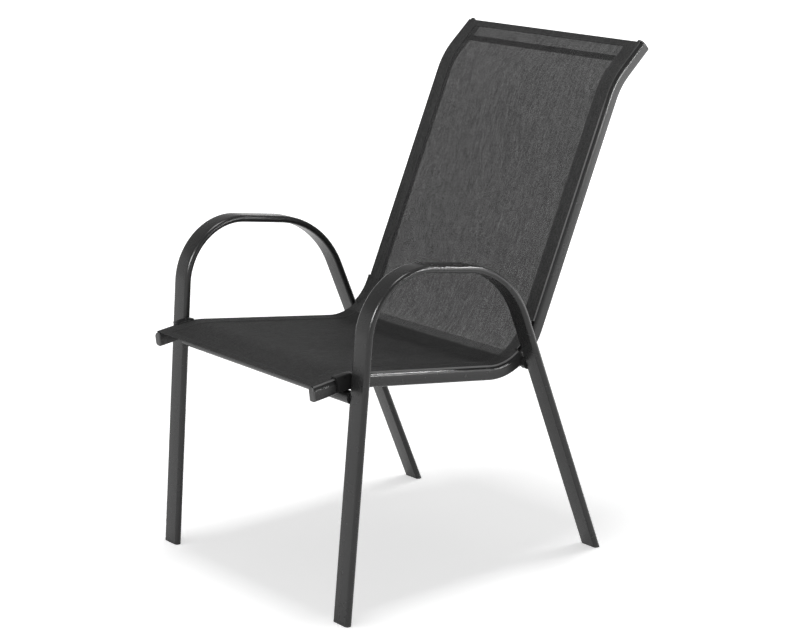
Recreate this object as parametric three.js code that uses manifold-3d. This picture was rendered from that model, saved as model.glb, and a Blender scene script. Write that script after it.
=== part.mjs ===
// A sling patio chair that stacks. Two side frames of bent flat-oval tube are each a front leg, an arm
// and a rear leg in one piece. Three crossbars and two slotted rails are welded up between them, and
// the rails hold a sheet of mesh fabric by splines in its side hems, which is seat and back in one.
// Millimetres. +Z is up, the front of the chair faces -Y, and the sitter's left is +X.
import * as THREE from "three";
import { mergeVertices } from "three/addons/utils/BufferGeometryUtils.js";
import Module from "manifold-3d";

const wasm = await Module();
wasm.setup();

const DEGREES = Math.PI / 180;

// Room between pieces that touch, and how far a cutting shape runs past what it cuts
const CLEARANCE = 0.3;
const OVERRUN = 6;

// How fine the facets are: how far a bend's facets may lie inside its arc, the steps of a half round
// and of a rounded corner, and the distance under which points and stations are the same
const BEND_SAG = 0.6 * CLEARANCE;
const HALF_ROUND_STEPS = 8;
const CORNER_STEPS = 2;
const BAR_SIDES = 24;
const SAME_POINT = 0.001;
const SHORTEST_STATION = 0.5;

// Side frames, as the centre line of their tube in the plane of the bends
const FRAME_TUBE_WIDTH = 41.7;
const FRAME_TUBE_THICKNESS = 13.1;
const FRAME_TUBE_WALL = 1.3;
const FRAME_SPREAD = 260.3;
const FRAME_SPLAY = 0.92 * DEGREES;
const FRONT_FOOT_Y = -284.7;
const REAR_FOOT_Y = 316.2;
const FRONT_LEG_LEAN = 5.0 * DEGREES;
const REAR_LEG_LEAN = 22.4 * DEGREES;
const ARM_HEIGHT = 589.7;
const ARM_SLOPE = 8.6 * DEGREES;
const FRONT_ARM_BEND = 115.9;
const REAR_ARM_BEND = 175.8;

// Foot plugs: a flat sole under the cut end of the tube, and a plug that fills it
const SOLE_HEIGHT = 3.3;
const PLUG_HEIGHT = 22;

// Rails, as the centre line of their section from the seat's front to the back's top
const RAIL_FRONT_Y = -324.7;
const RAIL_FRONT_Z = 413.5;
const NOSE_LENGTH = 81.8;
const SEAT_LENGTH = 403.5;
const BACK_LENGTH = 552;
const CREST_LENGTH = 96.8;
const NOSE_RISE = 6.97 * DEGREES;
const SEAT_FALL = 8.04 * DEGREES;
const BACK_RECLINE = 23.8 * DEGREES;
const CREST_RECLINE = 48.4 * DEGREES;
const NOSE_BEND = 176.9;
const SEAT_TO_BACK_BEND = 108.3;
const CREST_BEND = 132.1;

// The rails' section: a box with a slot in the face towards the sitter, near its outer side
const RAIL_WIDTH = 14.2;
const RAIL_BELOW = 13.6;
const RAIL_ABOVE = 12.2;
const RAIL_WALL = 1.4;
const RAIL_CORNER = 2.5;
const RAIL_SHOULDER = 3.8;
const RAIL_TO_LEG = 6.7;
const SLOT_WIDTH = 1.8;
const SLOT_INSET = 4.8;

// Rail end caps: a head as wide as the rail and a peg inside it
const CAP_HEAD = 3;
const CAP_BEVEL = 0.7;
const CAP_PEG_LENGTH = 12;
const CAP_PEG_ABOVE = 1.5;

// Crossbars: the rear one runs from rail to rail, and a spacer carries it on to each rear leg
const FRONT_BAR_DIAMETER = 22.3;
const REAR_BAR_DIAMETER = 22;
const BAR_WALL = 1.2;
const BAR_COPE = 2;
const REAR_BAR_BEHIND = 14;
const TOP_BAR_DIAMETER = 11;
const TOP_BAR_FROM_END = 41.6;

// The sling: a sheet with hems all round, whose side hems dive into the rails' slots
const SHEET_THICKNESS = 0.9;
const HEM_THICKNESS = 1.4;
const SIDE_HEM_REACH = 23.7;
const TAIL_THICKNESS = 0.9;
const TOP_HEM_WIDTH = 14.4;
const FRONT_HEM_WIDTH = 14;
const SLING_FRONT_INSET = 3.5;
const SLING_TOP_INSET = 6.6;
const RELIEF_LENGTH = 70;
const RELIEF_PAST_BEND = 10.6;

// Splines: round rods in the side hems, inside the rails
const SPLINE_DIAMETER = 5;
const SPLINE_DEPTH = 6.8;
const SPLINE_SIDES = 10;
const SPLINE_FRONT_INSET = 16;
const SPLINE_TOP_INSET = 14;
const SPLINE_SETBACK = 3;

// Stacking saddles: caps over the rails at the front legs that the next chair's frame rests on
const SADDLE_LENGTH = 43;
const SADDLE_LEAD = 37.8;
const SADDLE_COVER = 3.8;
const SADDLE_BELOW = 10;
const SADDLE_REACH = 17.5;
const SADDLE_ROUND = 3;
const SADDLE_OVERHANG = 9;
const SADDLE_EDGE = 1;
const SADDLE_SWEEP_LOW = 4;

const powderCoat = new THREE.MeshStandardMaterial({ color: 0x4c4d4f, roughness: 0.5, metalness: 0.55 });
const sheetMesh = new THREE.MeshStandardMaterial({ color: 0x3c3c3e, roughness: 0.85, metalness: 0 });
const glossPlastic = new THREE.MeshStandardMaterial({ color: 0x1c1c1e, roughness: 0.3, metalness: 0 });
const greyPlastic = new THREE.MeshStandardMaterial({ color: 0x454648, roughness: 0.55, metalness: 0 });
const blackPlastic = new THREE.MeshStandardMaterial({ color: 0x232325, roughness: 0.6, metalness: 0 });
const splineCore = new THREE.MeshStandardMaterial({ color: 0x2b2b2d, roughness: 0.7, metalness: 0 });

// A line of straights joined by round bends in the plane X = 0. Places on it go by the length along
// it, and places beside it by how far they lie to its left, seen with Y to the right and Z up.
class BentLine {
  constructor(corners, radii) {
    this.stretches = [];
    this.length = 0;
    let start = corners[0];
    for (let i = 1; i < corners.length; i++) {
      const heading = corners[i].clone().sub(corners[i - 1]).angle();
      if (i === corners.length - 1) {
        this.addStretch(start, heading, start.distanceTo(corners[i]), 0);
        break;
      }
      const nextHeading = corners[i + 1].clone().sub(corners[i]).angle();
      const turn = THREE.MathUtils.euclideanModulo(nextHeading - heading + Math.PI, 2 * Math.PI) - Math.PI;
      const setback = radii[i - 1] * Math.tan(Math.abs(turn) / 2);
      this.addStretch(start, heading, start.distanceTo(corners[i]) - setback, 0);
      const bendStart = corners[i].clone().sub(headed(heading).multiplyScalar(setback));
      this.addStretch(bendStart, heading, radii[i - 1] * Math.abs(turn), turn);
      start = corners[i].clone().add(headed(nextHeading).multiplyScalar(setback));
    }
  }

  addStretch(from, heading, length, turn) {
    this.stretches.push({ from, heading, length, turn, start: this.length });
    this.length += length;
  }

  // The point and heading at a length along the line, some way to its left
  at(along, left = 0) {
    const last = this.stretches.length - 1;
    const index = this.stretches.findIndex((s, i) => i === last || along < s.start + s.length);
    const { from, heading, length, turn, start } = this.stretches[index];
    const point = from.clone();
    const here = heading + (turn * (along - start)) / length;
    if (turn === 0) {
      point.add(headed(heading).multiplyScalar(along - start));
    } else {
      const radius = length / turn;
      point.add(leftOf(heading).multiplyScalar(radius)).sub(leftOf(here).multiplyScalar(radius));
    }
    point.add(leftOf(here).multiplyScalar(left));
    return { point, heading: here };
  }

  // The nearest place on the line to a point: the length along it, and how far left the point lies
  nearest(point) {
    let best = { left: Infinity };
    for (const { from, heading, length, turn, start } of this.stretches) {
      const away = point.clone().sub(from);
      let along = away.dot(headed(heading));
      if (turn !== 0) {
        const radius = length / turn;
        const spoke = away.sub(leftOf(heading).multiplyScalar(radius)).multiplyScalar(-Math.sign(radius));
        const swept = spoke.angle() - leftOf(heading).angle();
        const wrapped = THREE.MathUtils.euclideanModulo(swept + Math.PI, 2 * Math.PI) - Math.PI;
        along = wrapped * radius;
      }
      along = start + THREE.MathUtils.clamp(along, 0, length);
      const here = this.at(along);
      const left = point.clone().sub(here.point).dot(leftOf(here.heading));
      const distance = point.distanceTo(here.point);
      if (distance < Math.abs(best.distance ?? Infinity)) best = { along, left, distance };
    }
    return best;
  }

  // The lengths at which a shape swept from one place to another has its stations
  stations(from, to) {
    const inner = [];
    for (const { start, length, turn } of this.stretches) {
      const step = 2 * Math.acos(1 - (BEND_SAG * Math.abs(turn)) / length);
      const steps = turn === 0 ? 1 : Math.ceil(Math.abs(turn) / step);
      for (let i = 1; i <= steps; i++) inner.push(start + (length * i) / steps);
    }
    const between = (along) => along > from + SHORTEST_STATION && along < to - SHORTEST_STATION;
    return [from, ...inner.filter(between), to];
  }
}

function headed(heading) {
  return new THREE.Vector2(Math.cos(heading), Math.sin(heading));
}

function leftOf(heading) {
  return new THREE.Vector2(-Math.sin(heading), Math.cos(heading));
}

// A run of a bent line as a curve in space with one step from each station to the next
class Run extends THREE.Curve {
  constructor(line, from, to) {
    super();
    this.line = line;
    this.stations = line.stations(from, to);
  }

  placeAt(share) {
    return this.line.at(this.stations[Math.round(share * (this.stations.length - 1))]);
  }

  getPointAt(share) {
    const { point } = this.placeAt(share);
    return new THREE.Vector3(0, point.x, point.y);
  }

  getTangentAt(share) {
    const { heading } = this.placeAt(share);
    return new THREE.Vector3(0, Math.cos(heading), Math.sin(heading));
  }
}

// A shape swept along a bent line. Its x runs to -X and its y to the line's left.
function sweep(shape, line, from, to, arcSteps = CORNER_STEPS) {
  const run = new Run(line, from, to);
  const options = { steps: run.stations.length - 1, curveSegments: arcSteps / 2, extrudePath: run };
  return new THREE.ExtrudeGeometry(shape, options);
}

// A closed outline of corners { x, y, radius }, each rounded by its radius
function outline(corners) {
  const shape = new THREE.Shape();
  corners.forEach((corner, i) => {
    const before = corners[(i + corners.length - 1) % corners.length];
    const after = corners[(i + 1) % corners.length];
    const arrive = new THREE.Vector2(corner.x - before.x, corner.y - before.y).normalize();
    const leave = new THREE.Vector2(after.x - corner.x, after.y - corner.y).normalize();
    const radius = corner.radius ?? 0;
    const turn = Math.atan2(arrive.cross(leave), arrive.dot(leave));
    const setback = radius * Math.tan(Math.abs(turn) / 2);
    const x = corner.x - arrive.x * setback;
    const y = corner.y - arrive.y * setback;
    if (i === 0) shape.moveTo(x, y);
    else shape.lineTo(x, y);
    if (radius === 0) return;
    const side = Math.sign(turn);
    const centreX = x - arrive.y * radius * side;
    const centreY = y + arrive.x * radius * side;
    const first = Math.atan2(-arrive.x * side, arrive.y * side);
    shape.absarc(centreX, centreY, radius, first, first + turn, turn < 0);
  });
  return shape;
}

// A flat oval: straight sides and half-round ends
function flatOval(width, thickness) {
  const radius = thickness / 2;
  const shape = new THREE.Shape();
  shape.absarc(width / 2 - radius, 0, radius, -Math.PI / 2, Math.PI / 2, false);
  shape.absarc(radius - width / 2, 0, radius, Math.PI / 2, (3 * Math.PI) / 2, false);
  return shape;
}

function solidOf(geometry) {
  const bare = geometry.clone();
  bare.deleteAttribute("normal");
  bare.deleteAttribute("uv");
  const merged = mergeVertices(bare, SAME_POINT);
  const vertProperties = merged.attributes.position.array;
  const triVerts = new Uint32Array(merged.index.array);
  return new wasm.Manifold(new wasm.Mesh({ numProp: 3, vertProperties, triVerts }));
}

function geometryOf(solid) {
  const { vertProperties, triVerts } = solid.getMesh();
  const indexed = new THREE.BufferGeometry();
  indexed.setAttribute("position", new THREE.BufferAttribute(vertProperties, 3));
  indexed.setIndex(new THREE.BufferAttribute(triVerts, 1));
  const geometry = indexed.toNonIndexed();
  geometry.computeVertexNormals();
  return geometry;
}

function mesh(name, geometry, material) {
  const made = new THREE.Mesh(geometry, material);
  made.name = name;
  return made;
}

// A box as wide as the whole chair between two heights, for cutting feet flat
function slab(bottom, top) {
  const span = 2 * (FRAME_SPREAD + REAR_FOOT_Y - FRONT_FOOT_Y);
  const box = new THREE.BoxGeometry(span, span, top - bottom);
  box.translate(0, 0, (bottom + top) / 2);
  return solidOf(box);
}

// Side frame line, from under the front foot, over the arm, to under the rear foot
const frameLine = (() => {
  const under = -PLUG_HEIGHT;
  const armAt = (y) => ARM_HEIGHT - y * Math.tan(ARM_SLOPE);
  const frontSlope = Math.tan(FRONT_LEG_LEAN);
  const rearSlope = -Math.tan(REAR_LEG_LEAN);
  const legMeetsArm = (footY, slope) => {
    const height = armAt(footY) / (1 + slope * Math.tan(ARM_SLOPE));
    return new THREE.Vector2(footY + slope * height, height);
  };
  const corners = [
    new THREE.Vector2(FRONT_FOOT_Y + frontSlope * under, under),
    legMeetsArm(FRONT_FOOT_Y, frontSlope),
    legMeetsArm(REAR_FOOT_Y, rearSlope),
    new THREE.Vector2(REAR_FOOT_Y + rearSlope * under, under),
  ];
  return new BentLine(corners, [FRONT_ARM_BEND, REAR_ARM_BEND]);
})();

const railLine = (() => {
  const legs = [
    [NOSE_LENGTH, NOSE_RISE],
    [SEAT_LENGTH, -SEAT_FALL],
    [BACK_LENGTH, 90 * DEGREES - BACK_RECLINE],
    [CREST_LENGTH, 90 * DEGREES - CREST_RECLINE],
  ];
  const corners = [new THREE.Vector2(RAIL_FRONT_Y, RAIL_FRONT_Z)];
  for (const [length, heading] of legs) {
    corners.push(corners.at(-1).clone().add(headed(heading).multiplyScalar(length)));
  }
  return new BentLine(corners, [NOSE_BEND, SEAT_TO_BACK_BEND, CREST_BEND]);
})();

// Where a leg's centre line lies, at a height, and how far out its inner edge is there
const legY = {
  front: (height) => FRONT_FOOT_Y + height * Math.tan(FRONT_LEG_LEAN),
  rear: (height) => REAR_FOOT_Y - height * Math.tan(REAR_LEG_LEAN),
};
const frameInnerX = (height) => FRAME_SPREAD + height * Math.tan(FRAME_SPLAY) - FRAME_TUBE_WIDTH / 2;

// The point of a leg's centre line that lies a given way behind the rails' centre line
function legPointBehindRail(leg, behind) {
  let low = 0;
  let high = ARM_HEIGHT;
  while (high - low > SAME_POINT) {
    const height = (low + high) / 2;
    const { left } = railLine.nearest(new THREE.Vector2(legY[leg](height), height));
    if (left < -behind) low = height;
    else high = height;
  }
  return new THREE.Vector2(legY[leg](low), low);
}

const frontBarAt = legPointBehindRail("front", RAIL_BELOW + CLEARANCE + FRONT_BAR_DIAMETER / 2);
const rearBarAt = legPointBehindRail("rear", REAR_BAR_BEHIND);
const railX = frameInnerX(frontBarAt.y) - RAIL_TO_LEG - RAIL_WIDTH / 2;
const slotX = railX + RAIL_WIDTH / 2 - SLOT_INSET;

// Each side's frame with its two foot plugs, leaning outward as it goes up
const frameOutline = flatOval(FRAME_TUBE_WIDTH, FRAME_TUBE_THICKNESS);
const boreWidth = FRAME_TUBE_WIDTH - 2 * FRAME_TUBE_WALL;
const boreThickness = FRAME_TUBE_THICKNESS - 2 * FRAME_TUBE_WALL;

function splayed(solid, side) {
  const shear = new THREE.Matrix4().makeShear(0, 0, 0, 0, side * Math.tan(FRAME_SPLAY), 0);
  return geometryOf(solid).applyMatrix4(shear);
}

function sideFrame(side) {
  const section = frameOutline.clone();
  section.holes.push(flatOval(boreWidth, boreThickness));
  const tube = solidOf(sweep(section, frameLine, 0, frameLine.length, HALF_ROUND_STEPS));
  const aboveSoles = slab(SOLE_HEIGHT + CLEARANCE, 2 * ARM_HEIGHT);
  return splayed(tube.intersect(aboveSoles), side);
}

function footPlug(from, to, side) {
  const core = flatOval(boreWidth - 2 * CLEARANCE, boreThickness - 2 * CLEARANCE);
  const column = (shape) => solidOf(sweep(shape, frameLine, from, to, HALF_ROUND_STEPS));
  const sole = column(frameOutline).intersect(slab(0, SOLE_HEIGHT));
  const plug = column(core).intersect(slab(SOLE_HEIGHT / 2, PLUG_HEIGHT));
  return splayed(sole.add(plug), side);
}

function sideGroup(side, hand) {
  const group = new THREE.Group();
  const footRun = 3 * PLUG_HEIGHT;
  group.position.x = side * FRAME_SPREAD;
  group.add(mesh(`${hand}_side_frame`, sideFrame(side), powderCoat));
  group.add(mesh(`${hand}_front_foot_plug`, footPlug(0, footRun, side), blackPlastic));
  const rearPlug = footPlug(frameLine.length - footRun, frameLine.length, side);
  group.add(mesh(`${hand}_rear_foot_plug`, rearPlug, blackPlastic));
  return group;
}

// Rails and what sits in them. Across a rail, out is the way to the leg beside it, and up is the
// way to the sitter, so each shape is mirrored for the other side of the chair.
function acrossRail(side, corners) {
  return outline(corners.map(([out, up, radius]) => ({ x: -side * out, y: up, radius })));
}

function railSection(side) {
  const out = RAIL_WIDTH / 2;
  const inner = out - RAIL_WALL;
  const innerCorner = RAIL_CORNER - RAIL_WALL;
  const slot = out - SLOT_INSET;
  const ceiling = RAIL_ABOVE - RAIL_WALL;
  return acrossRail(side, [
    [-out, -RAIL_BELOW, RAIL_CORNER],
    [out, -RAIL_BELOW, RAIL_CORNER],
    [out, RAIL_ABOVE, RAIL_SHOULDER],
    [slot + SLOT_WIDTH / 2, RAIL_ABOVE],
    [slot + SLOT_WIDTH / 2, ceiling],
    [inner, ceiling, RAIL_SHOULDER - RAIL_WALL],
    [inner, RAIL_WALL - RAIL_BELOW, innerCorner],
    [-inner, RAIL_WALL - RAIL_BELOW, innerCorner],
    [-inner, ceiling, innerCorner],
    [slot - SLOT_WIDTH / 2, ceiling],
    [slot - SLOT_WIDTH / 2, RAIL_ABOVE],
    [-out, RAIL_ABOVE, RAIL_CORNER],
  ]);
}

// An end cap in its own frame: the head's outer face at z = 0 and the peg along +z
function railCap(side) {
  const out = RAIL_WIDTH / 2;
  const headShape = acrossRail(side, [
    [-out, -RAIL_BELOW, RAIL_CORNER],
    [out, -RAIL_BELOW, RAIL_CORNER],
    [out, RAIL_ABOVE, RAIL_SHOULDER],
    [-out, RAIL_ABOVE, RAIL_CORNER],
  ]);
  const head = new THREE.ExtrudeGeometry(headShape, {
    depth: CAP_HEAD - 2 * CAP_BEVEL,
    curveSegments: 2,
    bevelThickness: CAP_BEVEL,
    bevelSize: CAP_BEVEL,
    bevelOffset: -CAP_BEVEL,
    bevelSegments: 2,
  });
  head.translate(0, 0, CAP_BEVEL);
  const pegOut = out - RAIL_WALL - CLEARANCE;
  const pegBottom = RAIL_WALL + CLEARANCE - RAIL_BELOW;
  const pegShape = acrossRail(side, [
    [-pegOut, pegBottom, RAIL_CORNER - RAIL_WALL],
    [pegOut, pegBottom, RAIL_CORNER - RAIL_WALL],
    [pegOut, CAP_PEG_ABOVE],
    [-pegOut, CAP_PEG_ABOVE],
  ]);
  const pegOptions = { depth: CAP_PEG_LENGTH + CAP_HEAD / 2, curveSegments: 1, bevelEnabled: false };
  const peg = new THREE.ExtrudeGeometry(pegShape, pegOptions);
  peg.translate(0, 0, CAP_HEAD / 2);
  return geometryOf(solidOf(head).add(solidOf(peg)));
}

// Turns a mesh whose z is the way into the rail so that it closes the rail's end
function closeRail(cap, along, direction) {
  const { point, heading } = railLine.at(along);
  const into = headed(heading).multiplyScalar(direction);
  const up = leftOf(heading);
  const zAxis = new THREE.Vector3(0, into.x, into.y);
  const yAxis = new THREE.Vector3(0, up.x, up.y);
  const xAxis = new THREE.Vector3().crossVectors(yAxis, zAxis);
  cap.quaternion.setFromRotationMatrix(new THREE.Matrix4().makeBasis(xAxis, yAxis, zAxis));
  cap.position.set(0, point.x, point.y);
  return cap;
}

// The stretch of the side hems that is cut away where the seat turns into the back
const backBend = railLine.stretches[3];
const reliefEnd = backBend.start + backBend.length + RELIEF_PAST_BEND;
const reliefStart = reliefEnd - RELIEF_LENGTH;

function spline(side, from, to) {
  const shape = new THREE.Shape();
  const out = RAIL_WIDTH / 2 - SLOT_INSET;
  const up = RAIL_ABOVE - SPLINE_DEPTH;
  for (let i = 0; i < SPLINE_SIDES; i++) {
    const angle = (2 * Math.PI * i) / SPLINE_SIDES;
    const x = -side * out + (Math.cos(angle) * SPLINE_DIAMETER) / 2;
    const y = up + (Math.sin(angle) * SPLINE_DIAMETER) / 2;
    if (i === 0) shape.moveTo(x, y);
    else shape.lineTo(x, y);
  }
  return sweep(shape, railLine, from, to);
}

// A saddle hangs over the rail's side hem and fills the space between the rail and the front leg.
// Its front sweeps forward from the wall to the lid's thin edge.
function saddle(side) {
  const atLeg = railLine.nearest(new THREE.Vector2(legY.front(RAIL_FRONT_Z), RAIL_FRONT_Z)).along;
  const from = atLeg - SADDLE_LEAD;
  const to = from + SADDLE_LENGTH;
  const under = RAIL_ABOVE + CLEARANCE + HEM_THICKNESS + CLEARANCE;
  const top = under + SADDLE_COVER;
  const beside = RAIL_WIDTH / 2 + CLEARANCE;
  const outer = frameInnerX(frontBarAt.y) - railX - CLEARANCE;
  const section = acrossRail(side, [
    [outer - SADDLE_REACH, under],
    [beside, under],
    [beside, -SADDLE_BELOW],
    [outer, -SADDLE_BELOW],
    [outer, top, SADDLE_ROUND],
    [outer - SADDLE_REACH, top, SADDLE_ROUND],
  ]);
  const body = solidOf(sweep(section, railLine, from, to));
  const lowest = -SADDLE_BELOW - OVERRUN;
  const front = new THREE.Shape();
  front.moveTo(-OVERRUN, top - SADDLE_EDGE);
  front.lineTo(0, top - SADDLE_EDGE);
  front.quadraticCurveTo(SADDLE_OVERHANG, under, SADDLE_OVERHANG, SADDLE_SWEEP_LOW);
  front.lineTo(SADDLE_OVERHANG, lowest);
  front.lineTo(-OVERRUN, lowest);
  const width = 4 * RAIL_WIDTH;
  const cutter = new THREE.ExtrudeGeometry(front, { depth: width, curveSegments: 4, bevelEnabled: false });
  cutter.translate(0, 0, -width / 2);
  const { point, heading } = railLine.at(from);
  const forward = headed(heading);
  const up = leftOf(heading);
  const basis = new THREE.Matrix4().makeBasis(
    new THREE.Vector3(0, forward.x, forward.y),
    new THREE.Vector3(0, up.x, up.y),
    new THREE.Vector3(1, 0, 0),
  );
  cutter.applyMatrix4(basis.setPosition(0, point.x, point.y));
  return geometryOf(body.subtract(solidOf(cutter)));
}

function railGroup(side, hand) {
  const group = new THREE.Group();
  const gap = CAP_HEAD + CLEARANCE;
  const end = railLine.length;
  group.position.x = side * railX;
  const rail = sweep(railSection(side), railLine, gap, end - gap);
  group.add(mesh(`${hand}_rail`, rail, powderCoat));
  const seatSpline = spline(side, SPLINE_FRONT_INSET, reliefStart - SPLINE_SETBACK);
  group.add(mesh(`${hand}_seat_spline`, seatSpline, splineCore));
  const backSpline = spline(side, reliefEnd + SPLINE_SETBACK, end - SPLINE_TOP_INSET);
  group.add(mesh(`${hand}_back_spline`, backSpline, splineCore));
  group.add(mesh(`${hand}_stacking_saddle`, saddle(side), glossPlastic));
  group.add(closeRail(mesh(`${hand}_rail_front_cap`, railCap(side), greyPlastic), 0, 1));
  group.add(closeRail(mesh(`${hand}_rail_top_cap`, railCap(-side), greyPlastic), end, -1));
  return group;
}

// A straight tube from one X to another
function barTube(diameter, fromX, toX, at) {
  const bore = diameter / 2 - BAR_WALL;
  const ring = [
    new THREE.Vector2(bore, fromX),
    new THREE.Vector2(diameter / 2, fromX),
    new THREE.Vector2(diameter / 2, toX),
    new THREE.Vector2(bore, toX),
    new THREE.Vector2(bore, fromX),
  ];
  const tube = new THREE.LatheGeometry(ring, BAR_SIDES);
  tube.rotateZ(-Math.PI / 2);
  tube.translate(0, at.x, at.y);
  return solidOf(tube);
}

// The space that a side frame's tube takes up, with clearance, for coping the bars' ends
function frameSpace(side) {
  const grown = flatOval(FRAME_TUBE_WIDTH + 2 * CLEARANCE, FRAME_TUBE_THICKNESS + 2 * CLEARANCE);
  const solid = solidOf(sweep(grown, frameLine, 0, frameLine.length, HALF_ROUND_STEPS));
  return solidOf(splayed(solid, side).translate(side * FRAME_SPREAD, 0, 0));
}

function frontCrossbar() {
  const reach = frameInnerX(frontBarAt.y) + BAR_COPE;
  const tube = barTube(FRONT_BAR_DIAMETER, -reach, reach, frontBarAt);
  return geometryOf(tube.subtract(frameSpace(1)).subtract(frameSpace(-1)));
}

function rearSpacer(side) {
  const near = side * (railX + RAIL_WIDTH / 2 + CLEARANCE);
  const far = side * (frameInnerX(rearBarAt.y) + BAR_COPE);
  const tube = barTube(REAR_BAR_DIAMETER, Math.min(near, far), Math.max(near, far), rearBarAt);
  return geometryOf(tube.subtract(frameSpace(side)));
}

const betweenRails = railX - RAIL_WIDTH / 2 - CLEARANCE;
const rearCrossbar = barTube(REAR_BAR_DIAMETER, -betweenRails, betweenRails, rearBarAt);
const topBarAt = railLine.at(railLine.length - TOP_BAR_FROM_END).point;
const topCrossbar = barTube(TOP_BAR_DIAMETER, -betweenRails, betweenRails, topBarAt);

// The sling, in one piece: the sheet, its thicker hems, and the tails that go through the slots
function sling() {
  const from = SLING_FRONT_INSET;
  const to = railLine.length - SLING_TOP_INSET;
  const bottom = RAIL_ABOVE + CLEARANCE;
  const sheetTop = bottom + SHEET_THICKNESS;
  const hemTop = bottom + HEM_THICKNESS;
  const tailBottom = RAIL_ABOVE - SPLINE_DEPTH + SPLINE_DIAMETER / 2 + CLEARANCE;
  const tailOut = slotX + TAIL_THICKNESS / 2;
  const tailIn = slotX - TAIL_THICKNESS / 2;
  const hemInner = railX - SIDE_HEM_REACH;
  const section = outline([
    { x: -tailIn, y: bottom },
    { x: -tailIn, y: tailBottom },
    { x: -tailOut, y: tailBottom },
    { x: -tailOut, y: hemTop },
    { x: -hemInner, y: hemTop },
    { x: -hemInner, y: sheetTop },
    { x: hemInner, y: sheetTop },
    { x: hemInner, y: hemTop },
    { x: tailOut, y: hemTop },
    { x: tailOut, y: tailBottom },
    { x: tailIn, y: tailBottom },
    { x: tailIn, y: bottom },
  ]);
  const crossHem = outline([
    { x: -hemInner - HEM_THICKNESS, y: bottom },
    { x: hemInner + HEM_THICKNESS, y: bottom },
    { x: hemInner + HEM_THICKNESS, y: hemTop },
    { x: -hemInner - HEM_THICKNESS, y: hemTop },
  ]);
  let cloth = solidOf(sweep(section, railLine, from, to));
  cloth = cloth.add(solidOf(sweep(crossHem, railLine, from, from + FRONT_HEM_WIDTH)));
  cloth = cloth.add(solidOf(sweep(crossHem, railLine, to - TOP_HEM_WIDTH, to)));
  for (const side of [1, -1]) {
    const edge = side * (railX - RAIL_WIDTH / 2);
    const beyond = side * (railX + RAIL_WIDTH / 2);
    const relief = outline([
      { x: edge, y: tailBottom - OVERRUN },
      { x: beyond, y: tailBottom - OVERRUN },
      { x: beyond, y: hemTop + OVERRUN },
      { x: edge, y: hemTop + OVERRUN },
    ]);
    cloth = cloth.subtract(solidOf(sweep(relief, railLine, reliefStart, reliefEnd)));
  }
  return geometryOf(cloth);
}

const chair = new THREE.Group();
chair.add(sideGroup(1, "left"), sideGroup(-1, "right"));
chair.add(railGroup(1, "left"), railGroup(-1, "right"));
chair.add(mesh("front_crossbar", frontCrossbar(), powderCoat));
chair.add(mesh("rear_crossbar", geometryOf(rearCrossbar), powderCoat));
chair.add(mesh("left_rear_spacer", rearSpacer(1), powderCoat));
chair.add(mesh("right_rear_spacer", rearSpacer(-1), powderCoat));
chair.add(mesh("top_crossbar", geometryOf(topCrossbar), powderCoat));
chair.add(mesh("sling", sling(), sheetMesh));

// The origin is on the floor, in the middle of the chair's width and depth
const whole = new THREE.Box3().setFromObject(chair);
chair.position.y = -(whole.min.y + whole.max.y) / 2;

export default chair;
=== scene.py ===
import math

import bmesh
import bpy
import numpy as np
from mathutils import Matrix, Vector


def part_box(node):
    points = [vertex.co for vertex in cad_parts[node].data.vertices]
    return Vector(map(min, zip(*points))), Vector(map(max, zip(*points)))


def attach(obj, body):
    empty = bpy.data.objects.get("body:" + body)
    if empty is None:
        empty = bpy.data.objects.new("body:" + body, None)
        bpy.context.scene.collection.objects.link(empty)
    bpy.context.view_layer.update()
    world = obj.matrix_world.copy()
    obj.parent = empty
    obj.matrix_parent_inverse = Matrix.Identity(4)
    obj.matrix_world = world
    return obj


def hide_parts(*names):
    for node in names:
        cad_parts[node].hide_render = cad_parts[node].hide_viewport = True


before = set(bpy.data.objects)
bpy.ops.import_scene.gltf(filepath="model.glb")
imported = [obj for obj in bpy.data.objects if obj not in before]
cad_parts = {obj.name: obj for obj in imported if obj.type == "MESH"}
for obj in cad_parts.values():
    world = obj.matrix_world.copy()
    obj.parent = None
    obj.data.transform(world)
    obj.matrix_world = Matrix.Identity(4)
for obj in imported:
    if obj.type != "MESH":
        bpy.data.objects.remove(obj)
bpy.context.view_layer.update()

# Side frames
# Each is one flat-oval steel tube, bent into front leg, arm and rear leg and powder coated in
# anthracite. The legs lean outward a little as they rise, and their feet are cut level.

FRAME_WIDTH = 0.0417
FRAME_THICKNESS = 0.0131
FRAME_SPREAD = 0.2603
FRAME_SPLAY = math.radians(0.92)
FRONT_FOOT_Y = -0.2847
REAR_FOOT_Y = 0.3162
FRONT_LEG_LEAN = math.radians(5.0)
REAR_LEG_LEAN = math.radians(22.4)
ARM_HEIGHT = 0.5897
ARM_SLOPE = math.radians(8.6)
FRONT_ARM_BEND = 0.1159
REAR_ARM_BEND = 0.1758
SOLE_HEIGHT = 0.0033
FOOT_JOINT = 0.0003
FOOT_MARGIN = 0.02
OVAL_STEPS = 18
BEND_STEP = math.radians(2.5)
LONGEST_STEP = 0.03
SHORTEST_STRETCH = 1e-6
SHARP_EDGE = math.radians(40)
COAT_GREY = 0.018
COAT_TONE_SPREAD = 0.1
COAT_ROUGHNESS = 0.27
COAT_ROUGHNESS_SPREAD = 0.04
COAT_GLOSS = 0.35
MOTTLE_SCALE = 35.0
GRAIN_SCALE = 900.0
PEEL_SCALE = 520.0
PEEL_DEPTH = 0.000004

# The frame's origin lies in the middle of the chair's depth, and the lines below are drawn from the
# middle of the seat, so the rear foot's furthest point gives the way between the two.
rear_foot_reach = FRAME_THICKNESS / 2 / math.cos(REAR_LEG_LEAN)
depth_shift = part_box("left_rear_foot_plug")[1].y - REAR_FOOT_Y - rear_foot_reach


def headed(heading):
    return np.array([math.cos(heading), math.sin(heading)])


def left_of(heading):
    return np.array([-math.sin(heading), math.cos(heading)])


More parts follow.
